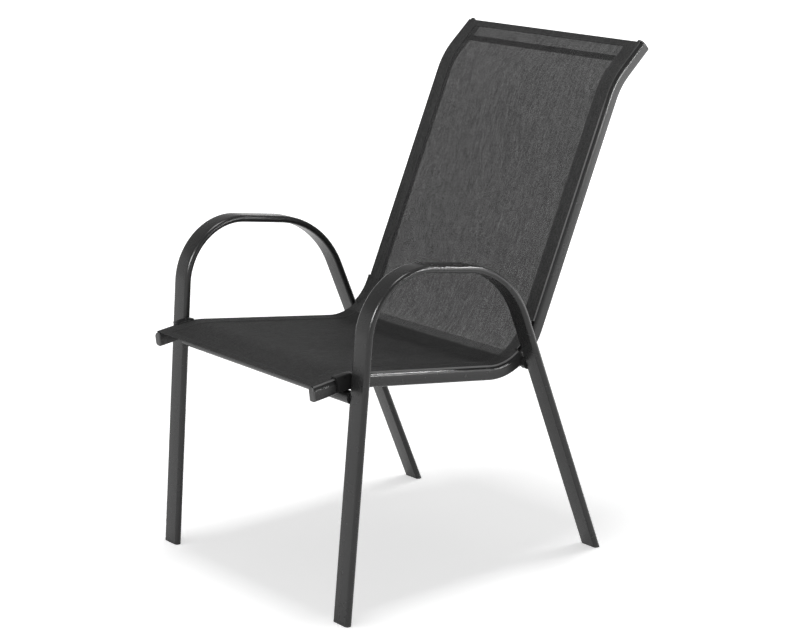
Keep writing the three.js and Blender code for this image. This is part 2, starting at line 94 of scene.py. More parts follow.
class BentLine:
    """A line of straights and round bends in the plane of Y and Z, measured along its length."""

    def __init__(self, corners, radii):
        self.stretches = []
        self.length = 0
        corners = [np.array(corner, float) for corner in corners]
        start = corners[0]
        for i in range(1, len(corners)):
            heading = math.atan2(*(corners[i] - corners[i - 1])[::-1])
            if i == len(corners) - 1:
                self.add(start, heading, np.linalg.norm(corners[i] - start), 0)
                break
            onward = math.atan2(*(corners[i + 1] - corners[i])[::-1])
            turn = (onward - heading + math.pi) % (2 * math.pi) - math.pi
            setback = radii[i - 1] * math.tan(abs(turn) / 2)
            self.add(start, heading, np.linalg.norm(corners[i] - start) - setback, 0)
            self.add(corners[i] - setback * headed(heading), heading, radii[i - 1] * abs(turn), turn)
            start = corners[i] + setback * headed(onward)

    def add(self, origin, heading, length, turn):
        self.stretches.append((self.length, origin, heading, length, turn))
        self.length += length

    def at(self, along, left=0.0):
        """The point a length along the line and some way to its left, and the heading there."""
        reached = [stretch for stretch in self.stretches if stretch[0] <= along]
        start, origin, heading, length, turn = (reached or self.stretches)[-1]
        here = heading + turn * (along - start) / length
        if turn:
            point = origin + (left_of(heading) - left_of(here)) * length / turn
        else:
            point = origin + headed(heading) * (along - start)
        return point + left * left_of(here), here

    def stations(self, first, last, longest=LONGEST_STEP):
        """Lengths along the line from first to last, close together in the bends."""
        places = [first]
        for start, _, _, length, turn in self.stretches:
            low, high = max(start, first), min(start + length, last)
            if high - low < SHORTEST_STRETCH:
                continue
            by_length = math.ceil((high - low) / longest)
            by_turn = math.ceil(abs(turn) * (high - low) / length / BEND_STEP)
            steps = max(by_length, by_turn)
            places += [low + (high - low) * (i + 1) / steps for i in range(steps)]
        return places


def flat_oval(inset=0.0):
    """Points round the tube's flat oval, drawn in by an inset, as (across, left) pairs."""
    radius = FRAME_THICKNESS / 2
    reach = FRAME_WIDTH / 2 - radius
    half = []
    for i in range(OVAL_STEPS + 1):
        angle = math.pi * i / OVAL_STEPS - math.pi / 2
        half.append((reach + (radius - inset) * math.cos(angle), (radius - inset) * math.sin(angle)))
    return half + [(-across, -left) for across, left in half]


def skin(name, rings):
    """A closed mesh over rings of points, each with as many as the next, with flat ends."""
    count = len(rings[0])
    points = [tuple(point) for ring in rings for point in ring]
    faces = []
    for i in range(len(rings) - 1):
        for j in range(count):
            k = (j + 1) % count
            faces.append((i * count + j, i * count + k, (i + 1) * count + k, (i + 1) * count + j))
    faces.append(tuple(range(count)))
    faces.append(tuple((len(rings) - 1) * count + j for j in range(count)))
    mesh = bpy.data.meshes.new(name)
    mesh.from_pydata(points, [], faces)
    return tidied(mesh)


def tidied(mesh):
    """The mesh with its faces turned outwards and shaded smooth except over sharp edges."""
    work = bmesh.new()
    work.from_mesh(mesh)
    bmesh.ops.recalc_face_normals(work, faces=work.faces)
    work.to_mesh(mesh)
    work.free()
    mesh.shade_smooth()
    mesh.set_sharp_from_angle(angle=SHARP_EDGE)
    return mesh


def piece(name, mesh, material, slot, *replaced):
    """Puts a finished mesh in the scene as a piece of the chair."""
    made = bpy.data.objects.new(name, mesh)
    bpy.context.scene.collection.objects.link(made)
    made.data.materials.clear()
    made.data.materials.append(material)
    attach(made, "root")
    if replaced:
        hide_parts(*replaced)
    return made


class Tone:
    """A number, colour or vector that varies over a surface, as the socket that gives it."""

    def __init__(self, tree, socket=None):
        self.tree = tree
        self.socket = socket

    def node(self, kind, inputs=None, output=0, **settings):
        """Adds a node with its settings and its inputs, and returns one output."""
        made = self.tree.nodes.new(kind)
        for key, value in settings.items():
            setattr(made, key, value)
        for key, value in (inputs or {}).items():
            if isinstance(value, Tone):
                self.tree.links.new(value.socket, made.inputs[key])
            else:
                made.inputs[key].default_value = value
        return Tone(self.tree, made.outputs[output]) if len(made.outputs) else None

    def maths(self, operation, other, flipped=False):
        first, second = (other, self) if flipped else (self, other)
        return self.node("ShaderNodeMath", {0: first, 1: second}, operation=operation)

    def __add__(self, other):
        return self.maths("ADD", other)

    def __sub__(self, other):
        return self.maths("SUBTRACT", other)

    def __rsub__(self, other):
        return self.maths("SUBTRACT", other, flipped=True)

    def __mul__(self, other):
        return self.maths("MULTIPLY", other)

    __radd__ = __add__
    __rmul__ = __mul__

    def parts(self):
        """The three numbers of a vector."""
        split = self.node("ShaderNodeSeparateXYZ", {0: self})
        return [Tone(self.tree, socket) for socket in split.socket.node.outputs]

    def noise(self, scale, detail):
        """A cloudy pattern from 0 to 1, finer with a larger scale."""
        inputs = {"Vector": self, "Scale": scale, "Detail": detail}
        return self.node("ShaderNodeTexNoise", inputs)

    def wave(self, pitch):
        """A sine that repeats at every pitch."""
        return (self * (2 * math.pi / pitch)).maths("SINE", 0.0)

    def climb(self, low, high):
        """A smooth climb from 0 at low to 1 at high."""
        ends = {0: self, 1: low, 2: high, 3: 0.0, 4: 1.0}
        return self.node("ShaderNodeMapRange", ends, interpolation_type="SMOOTHSTEP")

    def between(self, low, high):
        """The colour between two, by a mask from 0 to 1."""
        ends = {0: self, 6: low, 7: high}
        return self.node("ShaderNodeMix", ends, output=2, data_type="RGBA")

    def bump(self, distance, strength=1.0):
        """The surface's direction where this height stands out of it by a distance."""
        inputs = {"Height": self, "Distance": distance, "Strength": strength}
        return self.node("ShaderNodeBump", inputs)


def new_finish(name):
    """An empty material, and the start of its shader maths."""
    material = bpy.data.materials.new(name)
    material.use_nodes = True
    material.node_tree.nodes.clear()
    return material, Tone(material.node_tree)


def close_finish(start, sockets):
    """Ends a material's nodes in a Principled surface with these sockets."""
    surface = start.node("ShaderNodeBsdfPrincipled", sockets)
    start.node("ShaderNodeOutputMaterial", {"Surface": surface})


def grey(level):
    return (level, level, level, 1.0)


def powder_coat(name):
    """Satin powder coat: fine orange peel and a faint mottle."""
    material, start = new_finish(name)
    place = start.node("ShaderNodeTexCoord", output="Object")
    mottle = place.noise(MOTTLE_SCALE, 3.0)
    grain = place.noise(GRAIN_SCALE, 2.0)
    peel = place.noise(PEEL_SCALE, 2.0)
    darker = grey(COAT_GREY * (1 - COAT_TONE_SPREAD))
    lighter = grey(COAT_GREY * (1 + COAT_TONE_SPREAD))
    close_finish(start, {
        "Base Color": (mottle * 0.5 + grain * 0.5).between(darker, lighter),
        "Roughness": mottle * COAT_ROUGHNESS_SPREAD + COAT_ROUGHNESS - COAT_ROUGHNESS_SPREAD / 2,
        "Normal": peel.bump(PEEL_DEPTH),
        "Specular IOR Level": COAT_GLOSS,
    })
    return material


def arm_meets_leg(foot_y, slope):
    """Where a leg's centre line, leaning by slope from its foot, meets the arm's."""
    height = (ARM_HEIGHT - foot_y * math.tan(ARM_SLOPE)) / (1 + slope * math.tan(ARM_SLOPE))
    return foot_y + slope * height, height


front_slope = math.tan(FRONT_LEG_LEAN)
rear_slope = -math.tan(REAR_LEG_LEAN)
frame_line = BentLine(
    [(y + depth_shift, z) for y, z in (
        (FRONT_FOOT_Y, 0.0),
        arm_meets_leg(FRONT_FOOT_Y, front_slope),
        arm_meets_leg(REAR_FOOT_Y, rear_slope),
        (REAR_FOOT_Y, 0.0),
    )],
    [FRONT_ARM_BEND, REAR_ARM_BEND],
)


def splayed_x(side, across, height):
    """How far a point of the tube is from the chair's middle, which grows with its height."""
    return side * (FRAME_SPREAD + across + height * math.tan(FRAME_SPLAY))


def frame_ring(side, along):
    """The tube's outline square to its run, at a length along it."""
    ring = []
    for across, left in flat_oval():
        (y, z), _ = frame_line.at(along, left)
        ring.append((splayed_x(side, across, z), y, z))
    return ring


def level_ring(side, at_rear, height, inset=0.0):
    """The tube's outline cut level at a height above the floor, near a foot."""
    along = frame_line.length if at_rear else 0.0
    (foot_y, _), heading = frame_line.at(along)
    ring = []
    for across, left in flat_oval(inset):
        y = foot_y + height / math.tan(heading) - left / math.sin(heading)
        ring.append((splayed_x(side, across, height), y, height))
    return ring


coat = powder_coat("anthracite_powder_coat")
foot_cut = SOLE_HEIGHT + FOOT_JOINT
frame_stations = frame_line.stations(FOOT_MARGIN, frame_line.length - FOOT_MARGIN)
for hand, side in (("left", 1), ("right", -1)):
    rings = [frame_ring(side, along) for along in frame_stations]
    rings = [level_ring(side, False, foot_cut), *rings, level_ring(side, True, foot_cut)]
    name = f"{hand}_bent_frame_tube"
    piece(name, skin(name, rings), coat, "powder_coated_steel", f"{hand}_side_frame")

# Foot plugs
# Each leg's cut end is stopped by a black plastic plug, whose flat sole shows as a thin dark rim
# between the tube and the floor. The part of it inside the tube is hidden.

SOLE_EDGE = 0.0006
PLASTIC_GRAIN_SCALE = 1100.0
SCUFF_SCALE = 90.0
SCUFF_ROUGHNESS = 0.2
SCUFF_TONE_SHARES = (0.8, 1.3)


def plain_plastic(name, level, roughness, grain_depth, gloss=0.5):
    """Moulded plastic with a fine even grain and faint scuffs."""
    material, start = new_finish(name)
    place = start.node("ShaderNodeTexCoord", output="Object")
    grain = place.noise(PLASTIC_GRAIN_SCALE, 3.0)
    scuff = place.noise(SCUFF_SCALE, 4.0)
    darker, lighter = [grey(level * share) for share in SCUFF_TONE_SHARES]
    close_finish(start, {
        "Base Color": scuff.between(darker, lighter),
        "Roughness": scuff * SCUFF_ROUGHNESS + roughness - SCUFF_ROUGHNESS / 2,
        "Normal": grain.bump(grain_depth),
        "Specular IOR Level": gloss,
    })
    return material


foot_black = plain_plastic("black_foot_plastic", level=0.016, roughness=0.55, grain_depth=0.00006)
sole_levels = [
    (0.0, SOLE_EDGE),
    (SOLE_EDGE / 4, SOLE_EDGE / 4),
    (SOLE_EDGE, 0.0),
    (SOLE_HEIGHT - SOLE_EDGE / 2, 0.0),
    (SOLE_HEIGHT, SOLE_EDGE / 2),
]
for hand, side in (("left", 1), ("right", -1)):
    for end, at_rear in (("front", False), ("rear", True)):
        rings = [level_ring(side, at_rear, height, inset) for height, inset in sole_levels]
        name = f"{hand}_{end}_foot_sole"
        piece(name, skin(name, rings), foot_black, "foot_plastic", f"{hand}_{end}_foot_plug")

# Rails
# Two bent steel sections carry the sling from the seat's front to the top of the back. Each is a
# narrow box with a rounded outer shoulder and a slot in its sitter's face for the sling's hem.

RAIL_FRONT = (-0.3247, 0.4135)
NOSE_LENGTH = 0.0818
SEAT_LENGTH = 0.4035
BACK_LENGTH = 0.552
CREST_LENGTH = 0.0968
NOSE_RISE = math.radians(6.97)
SEAT_FALL = math.radians(8.04)
BACK_RECLINE = math.radians(23.8)
CREST_RECLINE = math.radians(48.4)
NOSE_BEND = 0.1769
SEAT_TO_BACK_BEND = 0.1083
CREST_BEND = 0.1321
RAIL_WIDTH = 0.0142
RAIL_BELOW = 0.0136
RAIL_ABOVE = 0.0122
RAIL_WALL = 0.0014
RAIL_CORNER = 0.0025
RAIL_HEEL = 0.0045
RAIL_SHOULDER = 0.0095
SLOT_WIDTH = 0.0018
SLOT_INSET = 0.0048
CAP_HEAD = 0.003
CAP_JOINT = 0.0003
CORNER_STEPS = 6

rail_x = (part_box("left_rail")[0].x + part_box("left_rail")[1].x) / 2
rail_corners = [np.array([RAIL_FRONT[0] + depth_shift, RAIL_FRONT[1]])]
for length, heading in (
    (NOSE_LENGTH, NOSE_RISE),
    (SEAT_LENGTH, -SEAT_FALL),
    (BACK_LENGTH, math.pi / 2 - BACK_RECLINE),
    (CREST_LENGTH, math.pi / 2 - CREST_RECLINE),
):
    rail_corners.append(rail_corners[-1] + length * headed(heading))
rail_line = BentLine(rail_corners, [NOSE_BEND, SEAT_TO_BACK_BEND, CREST_BEND])


def arc(centre, radius, first, last):
    """Points along a round stretch of an outline."""
    points = []
    for k in range(CORNER_STEPS + 1):
        angle = first + (last - first) * k / CORNER_STEPS
        points.append((centre[0] + radius * math.cos(angle), centre[1] + radius * math.sin(angle)))
    return points


def rounded(corners):
    """Points round a closed outline of (x, y, radius) corners."""
    points = []
    for i, (x, y, radius) in enumerate(corners):
        before = np.array(corners[i - 1][:2])
        after = np.array(corners[(i + 1) % len(corners)][:2])
        corner = np.array([x, y])
        if radius == 0:
            points.append((x, y))
            continue
        arrive = math.atan2(*(corner - before)[::-1])
        leave = math.atan2(*(after - corner)[::-1])
        turn = (leave - arrive + math.pi) % (2 * math.pi) - math.pi
        start = corner - radius * math.tan(abs(turn) / 2) * headed(arrive)
        centre = start + math.copysign(radius, turn) * left_of(arrive)
        for k in range(CORNER_STEPS + 1):
            here = arrive + turn * k / CORNER_STEPS
            points.append(tuple(centre - math.copysign(radius, turn) * left_of(here)))
    return points


def rail_ring(side, along, section):
    """A section's points, as (out, up) from the rail's middle, at a length along the rail."""
    ring = []
    for out, up in section:
        (y, z), _ = rail_line.at(along, up)
        ring.append((side * (rail_x + out), y, z))
    return ring


half_rail = RAIL_WIDTH / 2
slot_out = half_rail - SLOT_INSET
bore = half_rail - RAIL_WALL
ceiling = RAIL_ABOVE - RAIL_WALL
shoulder = (half_rail - RAIL_SHOULDER, RAIL_ABOVE - RAIL_SHOULDER)
inner_shoulder = RAIL_SHOULDER - RAIL_WALL


def shoulder_angle(out, radius):
    """Where a point some way out lies on the round shoulder."""
    return math.acos((out - shoulder[0]) / radius)


lip, far_lip = slot_out + SLOT_WIDTH / 2, slot_out - SLOT_WIDTH / 2
heel_and_corner = rounded([
    (half_rail, shoulder[1], 0),
    (-half_rail, RAIL_ABOVE, 0),
    (-half_rail, -RAIL_BELOW, RAIL_CORNER),
    (half_rail, -RAIL_BELOW, RAIL_HEEL),
])[2:]
bore_floor = rounded([
    (bore, shoulder[1], 0),
    (bore, RAIL_WALL - RAIL_BELOW, RAIL_HEEL - RAIL_WALL),
    (-bore, RAIL_WALL - RAIL_BELOW, RAIL_CORNER - RAIL_WALL),
    (-bore, ceiling, 0),
])[1:]
top_corner = rounded([
    (shoulder[0], RAIL_ABOVE, 0),
    (-half_rail, RAIL_ABOVE, RAIL_CORNER),
    (-half_rail, 0, 0),
])[1:-1]
rail_section = (
    heel_and_corner
    + arc(shoulder, RAIL_SHOULDER, 0, shoulder_angle(lip, RAIL_SHOULDER))
    + arc(shoulder, inner_shoulder, shoulder_angle(lip, inner_shoulder), 0)
    + bore_floor
    + arc(shoulder, inner_shoulder, math.pi / 2, shoulder_angle(far_lip, inner_shoulder))
    + arc(shoulder, RAIL_SHOULDER, shoulder_angle(far_lip, RAIL_SHOULDER), math.pi / 2)
    + top_corner
)
rail_start = CAP_HEAD + CAP_JOINT
rail_stations = rail_line.stations(rail_start, rail_line.length - rail_start)
for hand, side in (("left", 1), ("right", -1)):
    rings = [rail_ring(side, along, rail_section) for along in rail_stations]
    name = f"{hand}_slotted_rail"
    piece(name, skin(name, rings), coat, "powder_coated_steel", f"{hand}_rail")

# Rail end caps
# A moulded plug in the rails' own grey closes each rail at the seat's front and the back's top. Its
# head has the rail's outline, eased round its outer face.

CAP_EASE = 0.0014
CAP_STEPS = 6


def cap_ring(side, along, inset):
    """The rail's outline without its slot, drawn in by an inset."""
    section = rounded([
        (-half_rail + inset, -RAIL_BELOW + inset, RAIL_CORNER),
        (half_rail - inset, -RAIL_BELOW + inset, RAIL_HEEL),
        (half_rail - inset, RAIL_ABOVE - inset, RAIL_SHOULDER),
        (-half_rail + inset, RAIL_ABOVE - inset, RAIL_CORNER),
    ])
    return rail_ring(side, along, section)


cap_grey = plain_plastic("grey_cap_plastic", level=0.042, roughness=0.45, grain_depth=0.00003)
for hand, side in (("left", 1), ("right", -1)):
    for end, outer, inward in (("front", 0.0, 1), ("top", rail_line.length, -1)):
        rings = []
        for k in range(CAP_STEPS, -1, -1):
            angle = math.pi / 2 * k / CAP_STEPS
            depth = CAP_EASE * (1 - math.sin(angle))
            rings.append(cap_ring(side, outer + inward * depth, CAP_EASE * (1 - math.cos(angle))))
        rings.append(cap_ring(side, outer + inward * CAP_HEAD, 0.0))
        name = f"{hand}_{end}_rail_cap_head"
        piece(name, skin(name, rings), cap_grey, "cap_plastic", f"{hand}_rail_{end}_cap")

# Crossbars and spacers
# Round tubes tie the frame together: one under the rails' front from leg to leg, one behind the
# seat's rear bend, with a short spacer on to each rear leg, and a thin one behind the back's top.

BAR_SIDES = 56
BAR_RINGS = 12
BAR_BITE = 0.0012


def bar(name, node, bite_low, bite_high):
    """A round bar along X in the place of a CAD node, its ends let into what they are welded to."""
    low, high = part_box(node)
    centre_y, centre_z = (low.y + high.y) / 2, (low.z + high.z) / 2
    radius = (high.z - low.z) / 2
    angles = [2 * math.pi * i / BAR_SIDES for i in range(BAR_SIDES)]
    circle = [
        (centre_y + radius * math.cos(angle), centre_z + radius * math.sin(angle)) for angle in angles
    ]
    places = np.linspace(low.x - bite_low, high.x + bite_high, BAR_RINGS)
    rings = [[(x, y, z) for y, z in circle] for x in places]
    piece(name, skin(name, rings), coat, "powder_coated_steel", node)


bar("front_cross_tube", "front_crossbar", 0.0, 0.0)
bar("rear_cross_tube", "rear_crossbar", BAR_BITE, BAR_BITE)
bar("top_cross_rod", "top_crossbar", BAR_BITE, BAR_BITE)
bar("left_rear_stub", "left_rear_spacer", BAR_BITE, 0.0)
bar("right_rear_stub", "right_rear_spacer", 0.0, BAR_BITE)

# Sling
# One sheet of coated woven mesh is seat and back. It is doubled over in a hem on all four sides,
# and its side hems dive into the rails' slots, but for a cut at the seat's rear bend.

SHEET_THICKNESS = 0.0008
HEM_THICKNESS = 0.0014
SLING_CLEAR = 0.0003
SIDE_HEM_REACH = 0.0270
TOP_HEM = 0.0144
FRONT_HEM = 0.014
SLING_FRONT_INSET = 0.0035
SLING_TOP_INSET = 0.0066
RELIEF_LENGTH = 0.070
RELIEF_PAST_BEND = 0.0106
FLAP_RISE = 0.0045
FLAP_LEAD = 0.001
CUT_WIDTH = 0.0006
TAIL_BOTTOM = 0.0085
TAIL_HALF_WIDTH = 0.0004
TAIL_ROOT = 0.0005
TAIL_TURN = 0.0003
TAIL_LEAST = 0.0004
SEAT_SAG = 0.003
SEAT_SAG_LEAD = 0.16
BACK_SAG = 0.0015
BACK_SAG_LEAD = 0.12
STEP_WIDTH = 0.0012
SLING_COLUMNS = 26
SLING_STEP = 0.006
LEAST_STEP = 2e-4
SEAT_TO_BACK_STRETCH = 3

sling_start = SLING_FRONT_INSET
sling_end = rail_line.length - SLING_TOP_INSET
bend_start, _, _, bend_length, _ = rail_line.stretches[SEAT_TO_BACK_STRETCH]
relief_end = bend_start + bend_length + RELIEF_PAST_BEND
relief_start = relief_end - RELIEF_LENGTH
hem_inner = rail_x - SIDE_HEM_REACH
slot_x = rail_x + slot_out
relief_x = rail_x - half_rail


def ramp(value, low, high):
    """A smooth climb from 0 at low to 1 at high."""
    share = min(1.0, max(0.0, (value - low) / (high - low)))
    return share * share * (3 - 2 * share)


def sheet_height(x, along):
    """How far the sling's upper face lies above the rails' middle."""
    bottom = RAIL_ABOVE + SLING_CLEAR
    side_hem = ramp(abs(x), hem_inner - STEP_WIDTH / 2, hem_inner + STEP_WIDTH / 2)
    front_hem = 1 - ramp(along, sling_start + FRONT_HEM, sling_start + FRONT_HEM + STEP_WIDTH)
    top_hem = ramp(along, sling_end - TOP_HEM - STEP_WIDTH, sling_end - TOP_HEM)
    hem = max(side_hem, front_hem, top_hem)
    return bottom + SHEET_THICKNESS + (HEM_THICKNESS - SHEET_THICKNESS) * hem


def sag(x, along):
    """How far the stretched sheet hangs in between the rails."""
    bend = ramp(along, bend_start, bend_start + bend_length)
    seat = ramp(along, sling_start, sling_start + SEAT_SAG_LEAD) * (1 - bend)
    back = bend * (1 - ramp(along, sling_end - BACK_SAG_LEAD, sling_end))
    across = max(0.0, 1 - (x / rail_x) ** 2)
    return (SEAT_SAG * seat + BACK_SAG * back) * across


def loose(along):
    """From 0 to 1 where the hem is cut free of the slot and stands up as a flap."""
    free = ramp(along, relief_start, relief_start + CUT_WIDTH)
    return free * (1 - ramp(along, relief_end - CUT_WIDTH, relief_end))


edge_shares = (
    0.872, 0.876, 0.881, 0.886, 0.889, 0.893, 0.90, 0.93, 0.945, 0.955, 0.965, 0.975, 0.985, 0.992,
)
across_shares = sorted(set(
    [round(i / SLING_COLUMNS, 6) for i in range(-SLING_COLUMNS, SLING_COLUMNS + 1)]
    + [side * share for side in (-1, 1) for share in edge_shares]
))


def sling_ring(along):
    """The sling's outline across the chair at a length along the rails, out, over and back under."""
    free = loose(along)
    upper, lower = [], []
    for share in across_shares:
        x = share * slot_x
        lift = free * FLAP_RISE * ramp(abs(x), relief_x - FLAP_LEAD, slot_x) - sag(x, along)
        upper.append((x, sheet_height(x, along) + lift))
        lower.append((x, RAIL_ABOVE + SLING_CLEAR + lift))
    turn = upper[-1][1] - TAIL_TURN
    tail = lower[-1][1] - (RAIL_ABOVE + SLING_CLEAR - TAIL_BOTTOM) * (1 - free)
    tail = min(tail, turn - TAIL_LEAST)
    right = [
        (slot_x + TAIL_HALF_WIDTH, turn),
        (slot_x + TAIL_HALF_WIDTH, tail),
        (slot_x - TAIL_HALF_WIDTH, tail),
        (slot_x - TAIL_ROOT, lower[-1][1]),
    ]
    left = [(-x, up) for x, up in right[::-1]]
    return upper + right + lower[1:-1][::-1] + left


def even_steps(start, width, steps):
    """Places from a start over a width, evenly apart."""
    return [start + width * k / steps for k in range(steps + 1)]


close_places = sorted(set(
    rail_line.stations(sling_start, sling_end, SLING_STEP)
    + even_steps(relief_start, CUT_WIDTH, 2)
    + even_steps(relief_end, -CUT_WIDTH, 2)
    + even_steps(sling_start + FRONT_HEM, STEP_WIDTH, 3)
    + even_steps(sling_end - TOP_HEM, -STEP_WIDTH, 3)
))
sling_places = close_places[:1]
for before, place in zip(close_places, close_places[1:]):
    if place - before > LEAST_STEP:
        sling_places.append(place)
sling_rings = []
for along in sling_places:
    ring = []
    for x, up in sling_ring(along):
        (y, z), _ = rail_line.at(along, up)
        ring.append((x, y, z))
    sling_rings.append(ring)


def cloth_map(mesh, rings, places):
    """Lays the cloth's own measures, across and along in metres, into the mesh's UV map."""
    count = len(rings[0])
    layer = mesh.uv_layers.new(name="cloth")
    for loop in mesh.loops:
        ring, spot = divmod(loop.vertex_index, count)
        layer.data[loop.index].uv = (rings[ring][spot][0], places[ring])


WARP_PITCH = 0.0012
WEFT_PITCH = 0.0010
WARP_HEIGHT = 0.5
WEFT_HEIGHT = 0.35
WEAVE_DEPTH = 0.00022
WEAVE_STRENGTH = 0.7
YARN_WIDTH = 0.0022
YARN_SHIFT = 7
STREAK_LENGTH = 0.018
STREAK_SHARE = 0.46
CLOTH_ROUGHNESS = 0.6
STREAK_ROUGHNESS = 0.2
CLOTH_GLOSS = 0.12
DARK_YARN = 0.012
LIGHT_YARN = 0.046
HEM_LIGHTER = 0.06
# Painted shade: the seat's last stretch before the bend is darkened in the cloth's colour.
PAINTED_SHADE_GREY = 0.008
PAINTED_SHADE_SHARE = 0.45
PAINTED_SHADE_BEGINS = (0.37, 0.42)
PAINTED_SHADE_ENDS = (0.452, 0.460)
# Painted light: the bend into the back is lightened in the cloth's colour.
PAINTED_BEND_DARK_YARN = 0.045
PAINTED_BEND_LIGHT_YARN = 0.11
PAINTED_BEND_LIGHT_BEGINS = (0.454, 0.463)
PAINTED_BEND_LIGHT_ENDS = (0.474, 0.481)
# Painted highlight: a light line along the fold where each side hem dives into its slot.
FOLD_HIGHLIGHT_GREY = 0.15
FOLD_HIGHLIGHT_WIDTH = 0.0003
FOLD_HIGHLIGHT_FADE = (0.93, 1.0)
FOLD_HIGHLIGHT_FADE_SHARE = 0.8
MESH_OPENS = (0.451, 0.464)
SEAT_OPEN = 0.01
BACK_OPEN = 0.172
LOW_BACK_OPEN = 0.045
LOW_BACK = (0.46, 0.75)
HIGH_BACK_OPEN = 0.02
HIGH_BACK = (0.85, 1.05)
LEAST_OPEN_SHARE = 0.7
OPEN_SPREAD_SHARE = 0.6


def yarn_shade(across, along, length):
    """A random number for each stretch of each yarn, the ends out of step."""
    column = (across * (1 / YARN_WIDTH)).maths("FLOOR", 0.0)
    shift = across.node("ShaderNodeTexWhiteNoise", {"W": column}, noise_dimensions="1D")
    row = (along * (1 / length) + shift * YARN_SHIFT).maths("FLOOR", 0.0)
    spot = across.node("ShaderNodeCombineXYZ", {"X": column, "Y": row})
    return across.node("ShaderNodeTexWhiteNoise", {"Vector": spot}, noise_dimensions="2D")


def mesh_cloth(name):
    """Coated mesh with streaky yarns, more open in the back than in the seat, with closed hems. The
    seat's last stretch is darkened with painted shade, the bend into the back is lightened with
    painted light, and a painted highlight lines the folds at the slots."""
    material, start = new_finish(name)
    place = start.node("ShaderNodeUVMap", uv_map="cloth")
    across, along, _ = place.parts()
    streaks = yarn_shade(across, along, STREAK_LENGTH)
    fleck = yarn_shade(across, along, YARN_WIDTH)
    warp = across.wave(WARP_PITCH)
    weft = along.wave(WEFT_PITCH)
    back = along.climb(*MESH_OPENS)
    hem = across.maths("ABSOLUTE", 0.0).maths("GREATER_THAN", hem_inner)
    hem = hem.maths("MAXIMUM", along.maths("GREATER_THAN", sling_end - TOP_HEM))
    hem = hem.maths("MAXIMUM", along.maths("LESS_THAN", sling_start + FRONT_HEM))
    mix = streaks * STREAK_SHARE + fleck * (1 - STREAK_SHARE)
    # A painted highlight along each slot's fold, fading towards the back's top.
    fold_highlight = across.maths("ABSOLUTE", 0.0).climb(slot_x, slot_x + FOLD_HIGHLIGHT_WIDTH)
    fold_highlight = fold_highlight * (1 - along.climb(*FOLD_HIGHLIGHT_FADE) * FOLD_HIGHLIGHT_FADE_SHARE)
    # Painted light where the sheet bends up into the back.
    bent = along.climb(*PAINTED_BEND_LIGHT_BEGINS) * (1 - along.climb(*PAINTED_BEND_LIGHT_ENDS)) * (1 - hem)
    # Painted shade on the seat's last stretch before the bend.
    seat_painted_shade = along.climb(*PAINTED_SHADE_BEGINS) * (1 - along.climb(*PAINTED_SHADE_ENDS))
    shade = (mix + hem * HEM_LIGHTER).between(grey(DARK_YARN), grey(LIGHT_YARN))
    shade = (seat_painted_shade * PAINTED_SHADE_SHARE).between(shade, grey(PAINTED_SHADE_GREY))
    shade = bent.between(shade, mix.between(grey(PAINTED_BEND_DARK_YARN), grey(PAINTED_BEND_LIGHT_YARN)))
    shade = fold_highlight.between(shade, grey(FOLD_HIGHLIGHT_GREY))
    low = (1 - along.climb(*LOW_BACK)) * LOW_BACK_OPEN
    high = along.climb(*HIGH_BACK) * HIGH_BACK_OPEN
    open_share = (1 - hem) * (back * (low + high + BACK_OPEN) + SEAT_OPEN)
    open_share = open_share * (mix * OPEN_SPREAD_SHARE + LEAST_OPEN_SHARE)
    height = warp * WARP_HEIGHT + weft * WEFT_HEIGHT
    close_finish(start, {
        "Base Color": shade,
        "Roughness": streaks * STREAK_ROUGHNESS + CLOTH_ROUGHNESS,
        "Alpha": 1 - open_share,
        "Normal": height.bump(WEAVE_DEPTH, WEAVE_STRENGTH),
        "Specular IOR Level": CLOTH_GLOSS,
    })
    return material


cloth = mesh_cloth("woven_sling_mesh")
sling_mesh = skin("sling_sheet", sling_rings)
cloth_map(sling_mesh, sling_rings, sling_places)
sling = piece("sling_sheet", sling_mesh, cloth, "mesh_fabric", "sling")

# Hem stitching
# Lock stitches in dark thread hold every hem down along its inner edge. Geometry nodes set them out
# along the seams, a few millimetres apart.

STITCH_LENGTH = 0.003
STITCH_PITCH = 0.0042
STITCH_THREAD = 0.0007
STITCH_FROM_EDGE = 0.0026
STITCH_LIFT = 0.0001
SEAM_END_GAP = 0.004
SEAM_STEPS = 59
THREAD_SIDES = 6
THREAD_RINGS = 5


